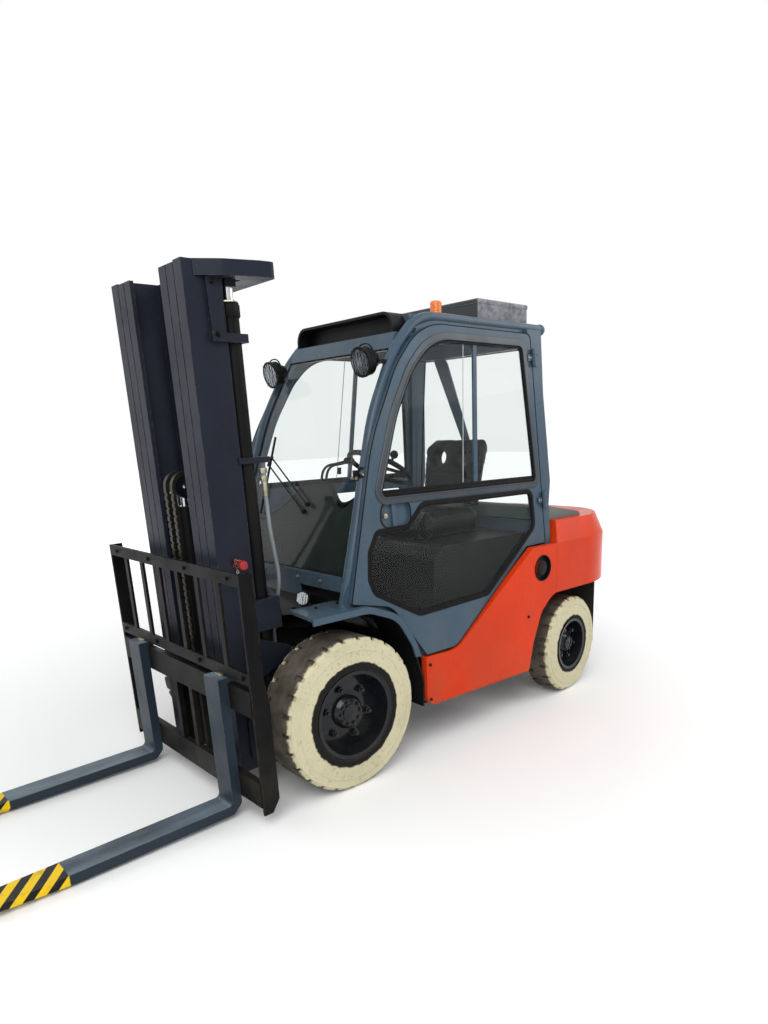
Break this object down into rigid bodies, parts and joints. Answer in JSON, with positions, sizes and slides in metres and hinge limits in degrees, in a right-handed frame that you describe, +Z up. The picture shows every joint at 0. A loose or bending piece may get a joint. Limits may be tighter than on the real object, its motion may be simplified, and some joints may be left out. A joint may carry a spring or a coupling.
{
  "type": "counterbalance forklift truck",
  "caption": "Diesel counterbalance forklift with an enclosed cab, a full-free-lift three-stage mast, a load backrest and striped fork tips.",
  "frame": {"origin": "on the floor under the middle of the truck's overall box, on its centre plane", "axes": "+X forward towards the fork tips, +Y to the driver's left, +Z up"},
  "size_m": [3.9166, 1.26, 2.228],
  "materials": {
    "body_red": "gloss paint, scuffed",
    "cab_slate": "gloss paint",
    "frame_black": "satin paint, oily",
    "cast_dark": "painted casting",
    "hood_grey": "satin paint",
    "mast_black": "satin paint, worn at the flanges",
    "fork_slate": "satin paint with striped tips",
    "rod_chrome": "ground and plated",
    "chain_steel": "oiled steel",
    "tyre_rubber": "rubber with cream painted sidewalls",
    "rim_dark": "satin paint",
    "glass": "clear",
    "lamp_black": "matt",
    "beacon_orange": "translucent",
    "trim_black": "grained",
    "seat_black": "vinyl",
    "box_grey": "weathered paint",
    "hose_grey": "grey cover, satin",
    "engine_grey": "painted casting"
  },
  "bodies": {
    "chassis": {"main_frame": "frame_black", "side_panels": "body_red", "front_fenders": "cab_slate", "fender_liners": "trim_black", "counterweight": "body_red", "counterweight_base": "cast_dark", "radiator_cover": "hood_grey", "engine_block": "engine_grey", "engine_hood": "trim_black", "drive_axle": "frame_black", "steer_axle": "frame_black", "cab_frame": "cab_slate", "roof_panel": "cab_slate", "roof_box": "box_grey", "beacon": "beacon_orange", "front_visor": "trim_black", "windscreen": "glass", "rear_window": "glass", "front_cowl": "trim_black", "dashboard": "trim_black", "seat": "seat_black", "work_lamps": "lamp_black"},
    "steering": {"steering_wheel": "trim_black"},
    "left_door": {"door_left": "cab_slate", "door_glass_left": "glass"},
    "front_left_wheel": {"front_tyre_left": "tyre_rubber", "front_rim_left": "rim_dark"},
    "left_knuckle": {"knuckle_left": "frame_black"},
    "rear_left_wheel": {"rear_tyre_left": "tyre_rubber", "rear_rim_left": "rim_dark"},
    "left_tilt_barrel": {"tilt_barrel_left": "frame_black"},
    "left_tilt_rod": {"tilt_rod_left": "rod_chrome"},
    "right_door": {"door_right": "cab_slate", "door_glass_right": "glass"},
    "front_right_wheel": {"front_tyre_right": "tyre_rubber", "front_rim_right": "rim_dark"},
    "right_knuckle": {"knuckle_right": "frame_black"},
    "rear_right_wheel": {"rear_tyre_right": "tyre_rubber", "rear_rim_right": "rim_dark"},
    "right_tilt_barrel": {"tilt_barrel_right": "frame_black"},
    "right_tilt_rod": {"tilt_rod_right": "rod_chrome"},
    "mast_outer": {"outer_mast": "mast_black", "lift_barrels": "frame_black", "mast_hoses": "hose_grey"},
    "mast_middle": {"middle_mast": "mast_black", "lift_rods": "rod_chrome"},
    "mast_inner": {"inner_mast": "mast_black", "free_lift_ram": "frame_black"},
    "free_lift": {"free_lift_head": "rod_chrome", "lift_chains": "chain_steel"},
    "fork_carriage": {"carriage": "frame_black", "load_backrest": "frame_black", "fork_left": "fork_slate", "fork_right": "fork_slate"}
  },
  "joints": [
    {"name": "mast_tilt", "type": "hinge", "parent": "chassis", "child": "mast_outer", "pos_m": [0.4317, 0, 0.27], "axis": [0, 1, 0], "range_deg": [-7, 5]},
    {"name": "mast_lift", "type": "slide", "parent": "mast_outer", "child": "mast_middle", "axis": [0.0175, 0, 0.9998], "range_m": [0, 1.58]},
    {"name": "inner_lift", "type": "slide", "parent": "mast_middle", "child": "mast_inner", "axis": [0.0175, 0, 0.9998], "range_m": [0, 1.58]},
    {"name": "carriage_lift", "type": "slide", "parent": "mast_inner", "child": "fork_carriage", "axis": [0.0175, 0, 0.9998], "range_m": [0, 1.5]},
    {"name": "free_lift_ram", "type": "slide", "parent": "mast_inner", "child": "free_lift", "axis": [0.0175, 0, 0.9998], "range_m": [0, 0.75]},
    {"name": "steering_wheel_turn", "type": "hinge", "parent": "chassis", "child": "steering", "pos_m": [-0.3083, 0.09, 1.4], "axis": [-0.5, 0, 0.866], "continuous": true},
    {"name": "left_door_hinge", "type": "hinge", "parent": "chassis", "child": "left_door", "pos_m": [-1.1038, 0.54172, 1.29862], "axis": [0.0401, -0.0801, 0.996], "range_deg": [0, 90]},
    {"name": "front_left_spin", "type": "hinge", "parent": "chassis", "child": "front_left_wheel", "pos_m": [0.3317, 0.5, 0.355], "axis": [0, 1, 0], "continuous": true},
    {"name": "left_steer", "type": "hinge", "parent": "chassis", "child": "left_knuckle", "pos_m": [-1.3683, 0.355, 0.291], "axis": [0, 0, 1], "range_deg": [-78, 66]},
    {"name": "rear_left_spin", "type": "hinge", "parent": "left_knuckle", "child": "rear_left_wheel", "pos_m": [-1.38157, 0.4813, 0.291], "axis": [-0.1045, 0.9945, 0], "continuous": true},
    {"name": "left_tilt_barrel_pivot", "type": "hinge", "parent": "chassis", "child": "left_tilt_barrel", "pos_m": [-0.0983, 0.285, 0.56], "axis": [0, 1, 0], "range_deg": [-1.6, 1.3]},
    {"name": "left_tilt_rod_slide", "type": "slide", "parent": "left_tilt_barrel", "child": "left_tilt_rod", "axis": [0.9915, 0, 0.1299], "range_m": [-0.046, 0.034]},
    {"name": "right_door_hinge", "type": "hinge", "parent": "chassis", "child": "right_door", "pos_m": [-1.1038, -0.54172, 1.29862], "axis": [-0.0401, -0.0801, -0.996], "range_deg": [0, 90]},
    {"name": "front_right_spin", "type": "hinge", "parent": "chassis", "child": "front_right_wheel", "pos_m": [0.3317, -0.5, 0.355], "axis": [0, 1, 0], "continuous": true},
    {"name": "right_steer", "type": "hinge", "parent": "chassis", "child": "right_knuckle", "pos_m": [-1.3683, -0.355, 0.291], "axis": [0, 0, 1], "range_deg": [-78, 66]},
    {"name": "rear_right_spin", "type": "hinge", "parent": "right_knuckle", "child": "rear_right_wheel", "pos_m": [-1.35502, -0.4813, 0.291], "axis": [-0.1045, 0.9945, 0], "continuous": true},
    {"name": "right_tilt_barrel_pivot", "type": "hinge", "parent": "chassis", "child": "right_tilt_barrel", "pos_m": [-0.0983, -0.285, 0.56], "axis": [0, 1, 0], "range_deg": [-1.6, 1.3]},
    {"name": "right_tilt_rod_slide", "type": "slide", "parent": "right_tilt_barrel", "child": "right_tilt_rod", "axis": [0.9915, 0, 0.1299], "range_m": [-0.046, 0.034]}
  ],
  "couplings": [
    {"joint": "inner_lift", "follows": "mast_lift", "ratio": 1},
    {"joint": "free_lift_ram", "follows": "carriage_lift", "ratio": 0.5},
    {"joint": "right_steer", "follows": "left_steer", "ratio": 1},
    {"joint": "left_tilt_barrel_pivot", "follows": "mast_tilt", "ratio": 0.188},
    {"joint": "left_tilt_rod_slide", "follows": "mast_tilt", "m_per_rad": 0.3577},
    {"joint": "right_tilt_barrel_pivot", "follows": "mast_tilt", "ratio": 0.188},
    {"joint": "right_tilt_rod_slide", "follows": "mast_tilt", "m_per_rad": 0.3577}
  ]
}
